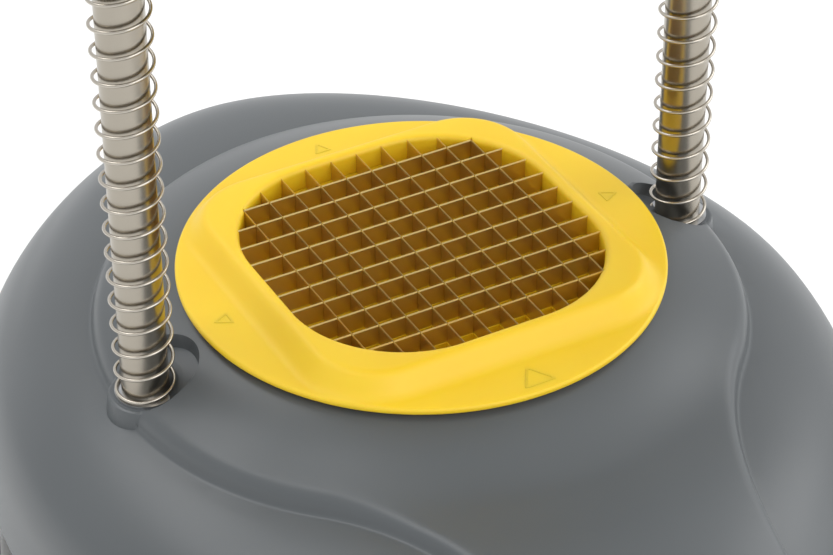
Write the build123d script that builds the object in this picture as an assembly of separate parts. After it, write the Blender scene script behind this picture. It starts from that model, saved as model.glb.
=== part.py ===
from build123d import *
from math import cos, pi, sin, sqrt
import os

# Column-guided french fry cutter: a moulded base that bridges a catch tray, a drop-in ring with a
# square grid of blades, and a sprung carriage that pushes a block of square posts onto the blades.
# Millimetres. The origin is the centre of the footprint on the table, +X to the right-hand column,
# +Y to the back, +Z up. The carriage is drawn at the top of its stroke, its place of rest.

# Cut grid
cut_size = 10.0
cells_across = 11
blade_thickness = 0.45
blade_height = 7.5
blade_bevel = 0.5
blade_tip = 0.06
blade_top_z = 150.0
blade_end_seat = 3.0
blade_slot_gap = 0.05
blade_end_gap = 0.2

# Blade ring, each size outward from the grid
opening_margin = 1.5
opening_straight = 15.5
boss_lip = 5.0
boss_slope_run = 4.5
boss_rise = 1.0
boss_round_share = 0.48
ring_land = 27.3
ring_margin = 1.85
flange_thickness = 2.5
flange_drop = 6.6
flange_edge_round = 1.0
skirt_wall = 6.5
skirt_drop = 16.0
mark_height = 0.3
mark_line = 1.0
side_mark = (11.8, 5.1, 3.6)
front_mark = (3.4, 13.8, 6.4)

# Bed of thin ribs that the blades rest on
bed_gap = 0.1
bed_frame = 1.9
bed_rib = 1.0
bed_ledge = 1.5

# Retainer under the bed, with the chute that hangs from it
retainer_height = 4.0
chute_depth = 46.0
chute_wall = 1.8
retainer_screw_wall = 4.2
retainer_screw_radius = 1.1
retainer_head_radius = 1.9
retainer_head_height = 1.3
retainer_screw_length = 8.5

# Base shell: a pillow crown on four legs, with a round panel and a tongue raised on its top
base_wall = 5.0
crown_drop = 27.0
crown_fall = 21.0
crown_power = 7
crown_start = 0.62
crown_fullness = 0.46
leg_fullness = 0.552
shoulder_reach = 38.0
base_stretch = 1.24
hip_drop = 22.0
hip_flare = 7.5
leg_bottom_z = 8.0
leg_flare = 11.0
seat_overlap = 7.8
dome_middle_run = 20.0
dome_middle_drop = 7.4
dome_edge_run = 33.5
dome_edge_drop = 14.6
panel_rim_width = 2.5
panel_rim_drop = 3.2
panel_rim_bulge = 0.7
panel_step = 5.0
panel_skirt = 30.0
tongue_half = 45.0
tongue_blend = 120.0
tongue_root_inset = 0.5
throat_gap = 0.6
throat_wall = 5.0
throat_drop = 7.0
leg_width = 58.0
leg_depth = 102.0
bay_below_hip = 2.0
bay_corner = 30.0
side_arch_below_hip = 22.0
side_arch_corner = 26.0

# Feet
foot_inset_x = 36.0
foot_inset_y = 76.0
foot_radius = 15.0
foot_inner_height = 5.0
foot_boss_radius = 18.0
foot_boss_height = 52.0
foot_round = 2.0
foot_screw_radius = 2.5
foot_screw_length = 20.0
foot_head_radius = 5.0
foot_head_height = 3.0

# Columns
column_gap = 20.2
column_radius = 8.0
column_neck_radius = 6.0
column_stud_radius = 5.0
column_tip_chamfer = 0.8
pocket_drop = 25.0
pocket_floor_radius = 13.0
pocket_slope = 2.0
pocket_radius = 17.0
column_boss_radius = 20.0
column_boss_height = 47.0
column_boss_shoulder = 17.0
column_fit = 0.05
stud_tip = 2.0
seat_washer_thickness = 1.0
seat_washer_radius = 10.4
spring_washer_radius = 12.0
nut_flats = 17.0
nut_height = 8.0
nut_washer_radius = 10.5
nut_washer_thickness = 1.5

# Springs
spring_radius = 9.8
spring_wire = 1.0
spring_pitch = 9.5
spring_end_gap = 0.05

# Carriage and stroke
lift = 145.0
post_entry = 5.0
post_gap = 0.475
post_length = 22.0
post_inset = 0.6
pusher_gap = 1.0
pusher_plate = 6.0
holder_plate = 3.0
tray_overhang = 24.5
tray_height = 26.0
tray_round = 3.0
tray_wall = 4.0
tray_floor = 5.0
sleeve_radius = 16.0
sleeve_length = 70.0
bush_radius = 10.0
bush_length = 16.0
bush_flange_radius = 13.0
bush_flange = 2.0
bush_fit = 0.06
arm_half = 14.0
cover_height = 30.0
cover_wall = 4.0
cover_slope_run = 60.0
cover_sections = 4
cover_screw_inset = 26.0
cover_screw_y = 30.0
cover_screw_radius = 1.8
cover_screw_length = 34.0
cover_head_radius = 3.8
cover_head_height = 3.0
screw_boss_radius = 6.0
pusher_screw_cell = 3
pusher_screw_radius = 2.0
pusher_screw_length = 22.0
pusher_head_radius = 4.5
pusher_head_height = 3.0
screw_gap = 0.1

# Grips
grip_height = 22.0
grip_boss_radius = 13.0
grip_boss_length = 24.0
grip_bar_radius = 6.0
grip_bar_start = 11.5
grip_length = 90.0
grip_end_radius = 14.0
grip_waist_radius = 16.5
grip_guard_radius = 19.0
grip_cap_thickness = 5.0
grip_cap_round = 3.0
collar_screw_sink = 0.5
grip_pin_radius = 1.5
grip_pin_inset = 1.0
grip_gap = 0.3
grip_screw_length = 13.0
grip_screw_head = 1.8
grip_screw_seat = 3.0
grip_rim = 1.5

# Stops
buffer_inset = 8.8
buffer_radius = 6.0
buffer_height = 8.0
buffer_stud_radius = 2.0
buffer_stud_length = 8.0
buffer_round = 1.5
buffer_clearance = 0.8
bumper_thickness = 3.0
bumper_radius = 12.5
bumper_gap = 0.3
collar_height = 7.0
collar_radius = 13.0
collar_screw_radius = 2.0
cap_radius = 11.5
cap_height = 11.0
cap_cover = 7.0
cap_round = 3.0

# Levels and places that follow from the sizes above
blade_bottom_z = blade_top_z - blade_height
flange_top_z = blade_top_z - flange_drop
flange_bottom_z = flange_top_z - flange_thickness
boss_top_z = blade_top_z + boss_rise
opening_half = cells_across * cut_size / 2 + opening_margin
opening_corner = opening_half - opening_straight
ring_radius = opening_half + ring_land
boss_top_half = opening_half + boss_lip
boss_foot_half = boss_top_half + boss_slope_run
boss_foot_corner = (sqrt(2) * boss_foot_half - (ring_radius - ring_margin)) / (sqrt(2) - 1)
boss_top_corner = boss_foot_corner - boss_slope_run
boss_round = boss_lip * boss_round_share
skirt_half = opening_half + skirt_wall
skirt_corner = opening_corner + skirt_wall
skirt_bottom_z = blade_top_z - skirt_drop
retainer_half = opening_half - bed_ledge
retainer_corner = opening_corner - bed_ledge
retainer_bottom_z = skirt_bottom_z - retainer_height
seat_radius = ring_radius - seat_overlap
dome_middle_radius = seat_radius + dome_middle_run
dome_middle_z = flange_bottom_z - dome_middle_drop
dome_edge_radius = seat_radius + dome_edge_run
dome_edge_z = flange_bottom_z - dome_edge_drop
panel_radius = dome_edge_radius + panel_rim_width
column_x = ring_radius + column_gap
base_half_x = column_x + shoulder_reach
base_half_y = base_half_x * base_stretch
crown_z = blade_top_z - crown_drop
shoulder_z = crown_z - crown_fall
hip_z = shoulder_z - hip_drop
throat_bottom_z = crown_z - throat_drop
bay_half = base_half_x - leg_width
bay_top_z = hip_z - bay_below_hip
side_arch_half = base_half_y - leg_depth
side_arch_top_z = hip_z - side_arch_below_hip
foot_x = base_half_x - foot_inset_x
foot_y = base_half_y - foot_inset_y
spot_face_z = blade_top_z - pocket_drop
column_boss_bottom_z = spot_face_z - column_boss_height
seat_top_z = spot_face_z + seat_washer_thickness
stroke = lift + post_entry
post_width = cut_size - blade_thickness - 2 * post_gap
pusher_half = opening_half - pusher_gap
pusher_corner = opening_corner - pusher_gap
tray_half_x = column_x - sleeve_radius
tray_half_y = pusher_half + tray_overhang
cover_screw_x = tray_half_x - cover_screw_inset
buffer_x = ring_radius - buffer_inset
post_tip_z = blade_top_z + lift
plate_bottom_z = post_tip_z + post_length
holder_bottom_z = plate_bottom_z + pusher_plate
tray_bottom_z = holder_bottom_z + holder_plate
tray_top_z = tray_bottom_z + tray_height
spring_top_z = post_tip_z
bush_bottom_z = spring_top_z + seat_washer_thickness
sleeve_bottom_z = bush_bottom_z + bush_flange
sleeve_top_z = sleeve_bottom_z + sleeve_length
guide_top_z = sleeve_top_z + bush_flange
bumper_bottom_z = guide_top_z + bumper_gap
collar_bottom_z = bumper_bottom_z + bumper_thickness
collar_top_z = collar_bottom_z + collar_height
column_top_z = collar_top_z + cap_cover
nut_washer_bottom_z = column_boss_bottom_z - nut_washer_thickness
nut_bottom_z = nut_washer_bottom_z - nut_height
grip_z = tray_bottom_z + grip_height
grip_boss_end = column_x + grip_boss_length
grip_start = grip_boss_end + grip_gap
grip_end = grip_start + grip_length
grip_pin_x = column_x + grip_boss_length * 0.75
sides = {"left": -1, "right": 1}
blade_places = [cut_size * (i - (cells_across - 2) / 2) for i in range(cells_across - 1)]
cell_places = [cut_size * (i - (cells_across - 1) / 2) for i in range(cells_across)]


def save(node, shape):
    shape.label = node
    export_step(shape, f"parts/{node}.step")


def rod(radius, bottom_z, top_z, x=0.0, y=0.0):
    return Pos(x, y, bottom_z) * Cylinder(radius, top_z - bottom_z,
                                          align=(Align.CENTER, Align.CENTER, Align.MIN))


def rod_along_x(radius, start_x, end_x, z, y=0.0):
    bar = Cylinder(radius, abs(end_x - start_x))
    return Pos((start_x + end_x) / 2, y, z) * Rot(0, 90, 0) * bar


def block(x_range, y_range, z_range):
    size = [high - low for low, high in (x_range, y_range, z_range)]
    middle = [(high + low) / 2 for low, high in (x_range, y_range, z_range)]
    return Pos(*middle) * Box(*size)


def rounded_square(half, corner, bottom_z, top_z):
    outline = Pos(0, 0, bottom_z) * RectangleRounded(2 * half, 2 * half, corner)
    return extrude(outline, top_z - bottom_z)


def wall_reach(offset, half, corner):
    """Distance from the centre line to the wall of a rounded square, at an offset across it."""
    beyond = abs(offset) - (half - corner)
    if beyond <= 0:
        return half
    return half - corner + sqrt(corner ** 2 - beyond ** 2)


def pillow(growth, bottom_z):
    """Base body between level ellipses; growth moves its whole skin out, or in when negative."""
    shares = [crown_start + (1 - crown_start) * i / 4 for i in range(5)]
    sections = [(crown_z - (crown_z - shoulder_z) * share ** crown_power, base_half_x * share,
                 crown_fullness) for share in shares]
    sections += [((shoulder_z + hip_z) / 2, base_half_x + 0.75 * hip_flare,
                  (crown_fullness + leg_fullness) / 2),
                 (hip_z, base_half_x + hip_flare, leg_fullness)]
    crown = loft([Pos(0, 0, z + growth) * oval(half_x + growth, fullness)
                  for z, half_x, fullness in sections])
    legs = loft([Pos(0, 0, z) * oval(half_x + growth, leg_fullness) for z, half_x in (
        (hip_z + growth, base_half_x + hip_flare), (bottom_z, base_half_x + leg_flare))])
    return crown + legs


def oval(half_x, fullness):
    """Oval of four curves; a fullness of 0.552 makes an ellipse, and less draws its corners in."""
    half_y = half_x * base_stretch
    quarter = [(half_x, 0), (half_x, half_y * fullness), (half_x * fullness, half_y), (0, half_y)]
    signs = ((1, 1), (-1, 1), (-1, -1), (1, -1))
    curves = [[(sx * x, sy * y) for x, y in quarter] for sx, sy in signs]
    edges = [Bezier(*(curve if i % 2 == 0 else curve[::-1])) for i, curve in enumerate(curves)]
    return make_face(edges)


def ellipse_loft(sections, stretch=base_stretch):
    """Loft through level ellipses, each section being a height and a half length along X."""
    return loft([Pos(0, 0, z) * Ellipse(half_x, half_x * stretch) for z, half_x in sections])


def dome(inset):
    """Round panel that slopes down from the ring seat to a rounded rim."""
    slope = ThreePointArc((seat_radius, flange_bottom_z - inset),
                          (dome_middle_radius, dome_middle_z - inset),
                          (dome_edge_radius - inset * 0.6, dome_edge_z - inset))
    edge = slope @ 1
    radius = panel_radius - inset
    low_z = edge.Y - panel_rim_drop
    rim = ThreePointArc(edge, (radius - panel_rim_bulge, edge.Y - panel_rim_drop / 3),
                        (radius, low_z))
    bottom_z = dome_edge_z - panel_skirt
    side = Polyline((radius, low_z), (radius, bottom_z), (0, bottom_z),
                    (0, flange_bottom_z - inset), slope @ 0)
    return revolve(Plane.XZ * make_face(slope + rim + side), Axis.Z)


def tongue_outline():
    """Tongue to the front with a concave blend on each side, rooted just inside the round panel."""
    root_radius = panel_radius - tongue_root_inset
    reach = root_radius + tongue_blend
    centre_x = tongue_half + tongue_blend
    centre = Vector(centre_x, -sqrt(reach ** 2 - centre_x ** 2))
    root = centre * (root_radius / reach)
    flank = Vector(tongue_half, centre.Y)
    inward = ((root - centre).normalized() + (flank - centre).normalized()).normalized()
    front_y = -base_half_y - 2 * leg_flare
    half = [root, centre + inward * tongue_blend, flank, Vector(tongue_half, front_y)]
    other = [Vector(-point.X, point.Y) for point in half]
    edge = ThreePointArc(*half[:3]) + Line(half[2], half[3]) + Line(half[3], other[3])
    edge += Line(other[3], other[2]) + ThreePointArc(*other[2::-1]) + Line(other[0], half[0])
    return make_face(edge)


def arch(half, top_z, corner):
    """Opening along Y with round top corners, open at the table."""
    outline = RectangleRounded(2 * half, top_z + 2 * corner, corner)
    return extrude(Pos(0, 0, top_z / 2 - corner) * Rot(90, 0, 0) * outline,
                   2 * base_half_x, both=True)


def column_boss(x):
    """Solid under a column: it stays inside the panel, but for a pad that carries the seat."""
    shoulder_top_z = spot_face_z - column_boss_shoulder
    boss = rod(column_boss_radius, column_boss_bottom_z, shoulder_top_z, x)
    boss += rod(column_boss_radius, shoulder_top_z, spot_face_z + pocket_slope, x) & dome(0)
    return boss + rod(pocket_floor_radius, column_boss_bottom_z, spot_face_z, x)


def column_pocket(x):
    """Space over a column's seat: a level floor, a short slope around it and upright walls."""
    rise = Pos(x, 0, spot_face_z + pocket_slope / 2) * Cone(pocket_floor_radius, pocket_radius,
                                                            pocket_slope)
    return rise + rod(pocket_radius, spot_face_z + pocket_slope, boss_top_z, x)


def base_shell():
    tongue = pillow(panel_step, leg_bottom_z) & extrude(
        Pos(0, 0, hip_z) * tongue_outline(), boss_top_z - hip_z)
    shell = pillow(0, leg_bottom_z) + (tongue + dome(0))
    shell -= pillow(-base_wall, leg_bottom_z - base_wall)
    shell -= dome(base_wall)
    shell -= arch(bay_half, bay_top_z, bay_corner)
    shell -= Rot(0, 0, 90) * arch(side_arch_half, side_arch_top_z, side_arch_corner)
    bore_half = skirt_half + throat_gap
    bore_corner = skirt_corner + throat_gap
    shell += dome(0) & rounded_square(bore_half + throat_wall, bore_corner + throat_wall,
                                      throat_bottom_z, flange_bottom_z)
    shell -= rounded_square(bore_half, bore_corner, leg_bottom_z, boss_top_z)
    for side in sides.values():
        x = side * column_x
        shell += column_boss(x)
        shell -= column_pocket(x)
        shell -= rod(column_neck_radius + column_fit, 0, boss_top_z, x)
        for end in (-1, 1):
            foot_at = (side * foot_x, end * foot_y)
            shell += rod(foot_boss_radius, leg_bottom_z, leg_bottom_z + foot_boss_height, *foot_at)
            shell -= rod(foot_screw_radius + screw_gap, 0, leg_bottom_z + foot_screw_length,
                         *foot_at)
    return shell


def blade(reach):
    """Strip of steel along X with a ground edge on top."""
    half, tip = blade_thickness / 2, blade_tip / 2
    shoulder_z = blade_top_z - blade_bevel
    section = Polyline((-half, blade_bottom_z), (half, blade_bottom_z), (half, shoulder_z),
                       (tip, blade_top_z), (-tip, blade_top_z), (-half, shoulder_z), close=True)
    return extrude(Plane.YZ * make_face(section), reach, both=True)


def blade_sets():
    """Two sets of half-lapped blades: one runs along X, the other along Y."""
    across, along = [], []
    for place in blade_places:
        reach = wall_reach(place, opening_half, opening_corner) + blade_end_seat - blade_end_gap
        across.append(Pos(0, place, 0) * blade(reach))
        along.append(Pos(place, 0, 0) * Rot(0, 0, 90) * blade(reach))
    middle_z = (blade_bottom_z + blade_top_z) / 2
    lap = blade_thickness / 2 + blade_slot_gap
    far = opening_half + blade_end_seat
    top_slots = [block((p - lap, p + lap), (-far, far), (middle_z - blade_slot_gap, boss_top_z))
                 for p in blade_places]
    bottom_slots = [block((-far, far), (p - lap, p + lap),
                          (retainer_bottom_z, middle_z + blade_slot_gap)) for p in blade_places]
    return (Compound(children=[blade - top_slots for blade in across]),
            Compound(children=[blade - bottom_slots for blade in along]))


def blade_bed():
    """Frame with a rib under each blade, open between the ribs."""
    half, corner = opening_half - bed_gap, opening_corner - bed_gap
    outline = rounded_square(half, corner, skirt_bottom_z, blade_bottom_z)
    frame = outline - rounded_square(half - bed_frame, corner - bed_frame, 0, blade_top_z)
    levels = (skirt_bottom_z, blade_bottom_z)
    ribs = [block((-half, half), (place - bed_rib / 2, place + bed_rib / 2), levels)
            for place in blade_places]
    ribs += [block((place - bed_rib / 2, place + bed_rib / 2), (-half, half), levels)
             for place in blade_places]
    return frame + [rib & outline for rib in ribs]


def mark(base, apex, half_width):
    """Raised triangular outline on the flange, its base and apex given inward from the rim."""
    corners = ((ring_radius - base, -half_width), (ring_radius - apex, 0),
               (ring_radius - base, half_width))
    face = make_face(Polyline(*corners, close=True))
    line = face - offset(face, -mark_line, kind=Kind.INTERSECTION)
    return extrude(Pos(0, 0, flange_top_z - flange_thickness / 2) * line,
                   flange_thickness / 2 + mark_height)


def blade_ring():
    flange = fillet(rod(ring_radius, flange_bottom_z, flange_top_z).edges(), flange_edge_round)
    boss = loft([
        Pos(0, 0, flange_top_z - 1) * RectangleRounded(2 * boss_foot_half, 2 * boss_foot_half,
                                                       boss_foot_corner),
        Pos(0, 0, boss_top_z) * RectangleRounded(2 * boss_top_half, 2 * boss_top_half,
                                                 boss_top_corner),
    ])
    boss = fillet(boss.faces().sort_by(Axis.Z)[-1].edges(), boss_round)
    ring = flange + boss
    ring += rounded_square(skirt_half, skirt_corner, skirt_bottom_z,
                           flange_bottom_z + flange_thickness / 5)
    ring -= rounded_square(opening_half, opening_corner, skirt_bottom_z - 1, boss_top_z + 1)
    mouth = ring.faces().filter_by(Plane.XY).sort_by(Axis.Z)[-1].inner_wires()[0]
    ring = fillet(mouth.edges(), boss_round)
    for turn in (0, 90, 180):
        ring += Rot(0, 0, turn) * mark(*side_mark)
    ring += Rot(0, 0, -90) * mark(*front_mark)
    for place in blade_places:
        reach = wall_reach(place, opening_half, opening_corner) + blade_end_seat
        half = blade_thickness / 2 + blade_slot_gap
        slot_z = (skirt_bottom_z - 1, blade_top_z + blade_slot_gap)
        ring -= block((-reach, reach), (place - half, place + half), slot_z)
        ring -= block((place - half, place + half), (-reach, reach), slot_z)
    # The outermost blades cross at the wall, and the ring is cut clear around each crossing
    clear = blade_places[-1] + blade_thickness / 2 + blade_slot_gap
    ring -= block((-clear, clear), (-clear, clear), (skirt_bottom_z - 1, boss_top_z + 1))
    for x, y in retainer_screw_places():
        ring -= rod(retainer_screw_radius + blade_slot_gap, retainer_bottom_z,
                    retainer_bottom_z + retainer_screw_length + throat_gap, x, y)
    return ring


def retainer_screw_places():
    wall_middle = opening_half + retainer_screw_wall
    places = []
    for turn in range(4):
        for offset_along in (-cut_size, cut_size):
            x, y = wall_middle, offset_along
            for _ in range(turn):
                x, y = -y, x
            places.append((x, y))
    return places


def retainer():
    """Plate that carries the bed, and the thin chute that leads the strips down from it."""
    plate = rounded_square(skirt_half, skirt_corner, retainer_bottom_z, skirt_bottom_z)
    plate += rounded_square(retainer_half + chute_wall, retainer_corner + chute_wall,
                            skirt_bottom_z - chute_depth, skirt_bottom_z)
    plate -= rounded_square(retainer_half, retainer_corner, 0, blade_top_z)
    for x, y in retainer_screw_places():
        plate -= rod(retainer_screw_radius + blade_slot_gap, 0, blade_top_z, x, y)
    return plate


def screw(radius, length, head_radius, head_height, x, y, seat_z, up):
    """Screw whose head sits on seat_z; its shank runs up or down from there."""
    if up:
        return rod(radius, seat_z, seat_z + length, x, y) + rod(
            head_radius, seat_z - head_height, seat_z, x, y)
    return rod(radius, seat_z - length, seat_z, x, y) + rod(
        head_radius, seat_z, seat_z + head_height, x, y)


def foot(x, y):
    body = rod(foot_radius, 0, leg_bottom_z, x, y)
    body = fillet(body.edges(), foot_round)
    body -= rod(foot_head_radius + screw_gap, 0, foot_inner_height, x, y)
    return body - rod(foot_screw_radius + screw_gap, 0, leg_bottom_z, x, y)


def column(x):
    shaft = rod(column_radius, seat_top_z, column_top_z, x)
    neck = rod(column_neck_radius, column_boss_bottom_z, seat_top_z, x)
    stud = rod(column_stud_radius, nut_bottom_z - stud_tip, column_boss_bottom_z, x)
    shaft = chamfer(shaft.faces().sort_by(Axis.Z)[-1].edges(), column_tip_chamfer)
    return shaft + neck + stud


def washer(inner, outer, bottom_z, thickness, x):
    return rod(outer, bottom_z, bottom_z + thickness, x) - rod(inner, bottom_z,
                                                               bottom_z + thickness, x)


def column_nut(x):
    hexagon = Pos(x, 0, nut_bottom_z) * RegularPolygon(nut_flats / 2, 6, major_radius=False)
    return extrude(hexagon, nut_height) - rod(column_stud_radius + column_fit, nut_bottom_z,
                                              nut_washer_bottom_z, x)


def spring(x):
    bottom = seat_top_z + spring_wire / 2 + spring_end_gap
    top = spring_top_z - spring_wire / 2 - spring_end_gap
    path = Pos(x, 0, bottom) * Helix(pitch=spring_pitch, height=top - bottom, radius=spring_radius)
    start = Plane(path @ 0, z_dir=path % 0)
    return sweep(start * Circle(spring_wire / 2), path=path, is_frenet=True)


def pusher():
    posts = [Pos(x, y, plate_bottom_z) * Box(post_width, post_width, post_length,
                                             align=(Align.CENTER, Align.CENTER, Align.MAX))
             for x in cell_places for y in cell_places
             if wall_reach(y, pusher_half, pusher_corner) > abs(x) + post_width / 4]
    block_of_posts = Compound(children=posts) & rounded_square(
        pusher_half - post_inset, pusher_corner - post_inset, post_tip_z, plate_bottom_z)
    body = rounded_square(pusher_half, pusher_corner, plate_bottom_z, holder_bottom_z)
    body += block_of_posts.solids()
    for x, y in pusher_screw_places():
        body -= rod(pusher_screw_radius + screw_gap, pusher_screw_tip_z() - 1, tray_bottom_z, x, y)
    return body


def pusher_screw_places():
    reach = pusher_screw_cell * cut_size
    return [(x, y) for x in (-reach, reach) for y in (-reach, reach)]


def pusher_screw_tip_z():
    return tray_bottom_z + tray_floor - pusher_screw_length


def cover_screw_places():
    return [(x, y) for x in (-cover_screw_x, cover_screw_x) for y in (-cover_screw_y, cover_screw_y)]


def holder():
    plate = rounded_square(pusher_half, pusher_corner, holder_bottom_z, tray_bottom_z)
    for x, y in pusher_screw_places():
        plate -= rod(pusher_screw_radius + screw_gap, 0, tray_top_z, x, y)
    return plate


def carriage_body():
    outline = Pos(0, 0, tray_bottom_z) * Ellipse(tray_half_x, tray_half_y)
    body = extrude(outline, tray_height)
    body = fillet(body.faces().sort_by(Axis.Z)[0].edges(), tray_round)
    well = extrude(Pos(0, 0, tray_bottom_z + tray_floor) * Ellipse(
        tray_half_x - tray_wall, tray_half_y - tray_wall), tray_height)
    for x, y in cover_screw_places():
        well -= rod(screw_boss_radius, tray_bottom_z, tray_top_z, x, y)
    body -= well
    for side in sides.values():
        x = side * column_x
        arm = block(sorted((side * (tray_half_x - tray_wall), x)), (-arm_half, arm_half),
                    (tray_bottom_z, tray_top_z))
        body += arm + rod(sleeve_radius, sleeve_bottom_z, sleeve_top_z, x)
        body += rod_along_x(grip_boss_radius, x, side * grip_boss_end, grip_z)
        body += rod(buffer_radius, buffer_top_z(), tray_bottom_z + 1, side * buffer_x)
    for side in sides.values():
        x = side * column_x
        body -= rod(bush_radius, sleeve_bottom_z, sleeve_top_z, x)
        body -= rod_along_x(grip_bar_radius, x, side * grip_boss_end, grip_z)
        body -= rod(grip_pin_radius, tray_bottom_z, tray_top_z + grip_boss_radius,
                    side * grip_pin_x)
        body -= rod(buffer_stud_radius, buffer_top_z(), buffer_top_z() + buffer_stud_length,
                    side * buffer_x)
    for x, y in pusher_screw_places():
        body -= rod(pusher_screw_radius + screw_gap, 0, tray_top_z, x, y)
    for x, y in cover_screw_places():
        body -= rod(cover_screw_radius + screw_gap, 0, tray_top_z, x, y)
        body -= rod(cover_head_radius + screw_gap, 0, tray_bottom_z + cover_head_height, x, y)
    return body


def carriage_cover():
    """Lid whose side curves over to a level top, as a quarter of an ellipse."""
    turns = [pi / 2 * i / cover_sections for i in range(cover_sections + 1)]
    sections = [(tray_top_z + cover_height * sin(turn),
                 tray_half_x - cover_slope_run * (1 - cos(turn))) for turn in turns]
    stretch = tray_half_y / tray_half_x
    inside = ellipse_loft([(z - cover_wall, half_x - cover_wall) for z, half_x in sections], stretch)
    for x, y in cover_screw_places():
        inside -= rod(screw_boss_radius, tray_bottom_z, tray_top_z + cover_height, x, y)
    cover = ellipse_loft(sections, stretch) - inside
    for side in sides.values():
        cover -= rod(sleeve_radius + grip_gap, tray_bottom_z, guide_top_z, side * column_x)
    for x, y in cover_screw_places():
        cover -= rod(cover_screw_radius + screw_gap, tray_bottom_z,
                     tray_bottom_z + cover_head_height + cover_screw_length + 1, x, y)
    return cover


def buffer_top_z():
    return buffer_bottom_z() + buffer_height


def buffer_bottom_z():
    return flange_top_z + mark_height + buffer_clearance + stroke


def bush(x, bottom):
    """Plain guide bush; the lower one has its flange below the sleeve, the upper one above it."""
    if bottom:
        low, flange_low = sleeve_bottom_z, bush_bottom_z
    else:
        low, flange_low = sleeve_top_z - bush_length, sleeve_top_z
    body = rod(bush_radius, low, low + bush_length, x)
    body += rod(bush_flange_radius, flange_low, flange_low + bush_flange, x)
    return body - rod(column_radius + bush_fit, bush_bottom_z, guide_top_z, x)


def grip(side):
    x0, x1 = side * grip_start, side * grip_end
    step = side * grip_length
    profile = [(x0, grip_bar_radius + bush_fit), (x0, grip_guard_radius - grip_rim),
               (x0 + step * 0.02, grip_guard_radius), (x0 + step * 0.07, grip_guard_radius - 0.5)]
    curve = [(x0 + step * 0.12, grip_end_radius + 0.5), (x0 + step * 0.5, grip_waist_radius),
             (x1 - step * 0.02, grip_end_radius - 1), (x1, grip_end_radius - 2)]
    edge = Polyline(profile[0], profile[1], profile[2], profile[3], curve[0])
    back = Polyline(curve[-1], (x1, grip_bar_radius + bush_fit), profile[0])
    face = make_face(edge + Spline(*curve) + back)
    turned = revolve(Plane.XZ * face, Axis.X)
    return Pos(0, 0, grip_z) * turned


def grip_bar(side):
    start = side * (column_x + grip_bar_start)
    bar = rod_along_x(grip_bar_radius, start, side * grip_end, grip_z)
    bar -= rod(grip_pin_radius, tray_bottom_z, tray_top_z + grip_boss_radius, side * grip_pin_x)
    return bar - rod_along_x(pusher_screw_radius, side * (grip_end - grip_screw_length),
                             side * grip_end, grip_z)


def grip_cap(side):
    cap = rod_along_x(grip_end_radius - 1, side * grip_end, side * (grip_end + grip_cap_thickness),
                      grip_z)
    cap = fillet(cap.faces().sort_by(Axis.X)[-1 if side > 0 else 0].edges(), grip_cap_round)
    beyond = side * (grip_end + 2 * grip_cap_thickness)
    cap -= rod_along_x(pusher_screw_radius + screw_gap, side * grip_end, beyond, grip_z)
    return cap - rod_along_x(pusher_head_radius + screw_gap, side * (grip_end + grip_screw_seat),
                             beyond, grip_z)


def grip_screw(side):
    seat = grip_end + grip_screw_seat
    shank = rod_along_x(pusher_screw_radius, side * (seat - grip_screw_length), side * seat, grip_z)
    return shank + rod_along_x(pusher_head_radius, side * seat, side * (seat + grip_screw_head),
                               grip_z)


def stop_collar(side):
    x = side * column_x
    ring = washer(column_radius + column_fit, collar_radius, collar_bottom_z, collar_height, x)
    screw_z = collar_bottom_z + collar_height / 2
    return ring - rod_along_x(collar_screw_radius, x + side * column_radius,
                              x + side * collar_radius, screw_z)


def collar_screw(side):
    x = side * column_x
    screw_z = collar_bottom_z + collar_height / 2
    return rod_along_x(collar_screw_radius, x + side * (column_radius + column_fit),
                       x + side * (collar_radius - collar_screw_sink), screw_z)


def column_cap(x):
    cap = rod(cap_radius, collar_top_z, collar_top_z + cap_height, x)
    cap = fillet(cap.faces().sort_by(Axis.Z)[-1].edges(), cap_round)
    return cap - rod(column_radius + column_fit, collar_top_z, column_top_z, x)


def stop_buffer(x):
    tip = rod(buffer_radius, buffer_bottom_z(), buffer_top_z(), x)
    tip = fillet(tip.faces().sort_by(Axis.Z)[0].edges(), buffer_round)
    return tip + rod(buffer_stud_radius, buffer_top_z(), buffer_top_z() + buffer_stud_length, x)


os.makedirs("parts", exist_ok=True)
save("base_shell", base_shell())
blades_across, blades_along = blade_sets()
save("blades_across", blades_across)
save("blades_along", blades_along)
save("blade_ring", blade_ring())
save("blade_bed", blade_bed())
save("blade_retainer", retainer())
save("retainer_screws", Compound(children=[
    screw(retainer_screw_radius, retainer_screw_length, retainer_head_radius, retainer_head_height,
          x, y, retainer_bottom_z, True) for x, y in retainer_screw_places()]))

foot_places = {f"foot_{end}_{side}": (sign * foot_x, depth * foot_y)
               for end, depth in (("front", -1), ("rear", 1)) for side, sign in sides.items()}
for node, (x, y) in foot_places.items():
    save(node, foot(x, y))
save("foot_screws", Compound(children=[
    screw(foot_screw_radius, foot_screw_length, foot_head_radius, foot_head_height, x, y,
          foot_inner_height, True) for x, y in foot_places.values()]))

for name, side in sides.items():
    x = side * column_x
    save(f"column_{name}", column(x))
    save(f"spring_{name}", spring(x))
    save(f"spring_seat_{name}", washer(column_neck_radius + column_fit, seat_washer_radius,
                                       spot_face_z, seat_washer_thickness, x))
    save(f"spring_washer_{name}", washer(column_radius + grip_gap, spring_washer_radius,
                                         spring_top_z, seat_washer_thickness, x))
    save(f"stop_bumper_{name}", washer(column_radius + column_fit, bumper_radius,
                                       bumper_bottom_z, bumper_thickness, x))
    save(f"stop_collar_{name}", stop_collar(side))
    save(f"column_cap_{name}", column_cap(x))
    save(f"lower_bush_{name}", bush(x, True))
    save(f"upper_bush_{name}", bush(x, False))
    save(f"grip_{name}", grip(side))
    save(f"grip_bar_{name}", grip_bar(side))
    save(f"grip_cap_{name}", grip_cap(side))
    save(f"stop_buffer_{name}", stop_buffer(side * buffer_x))

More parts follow.
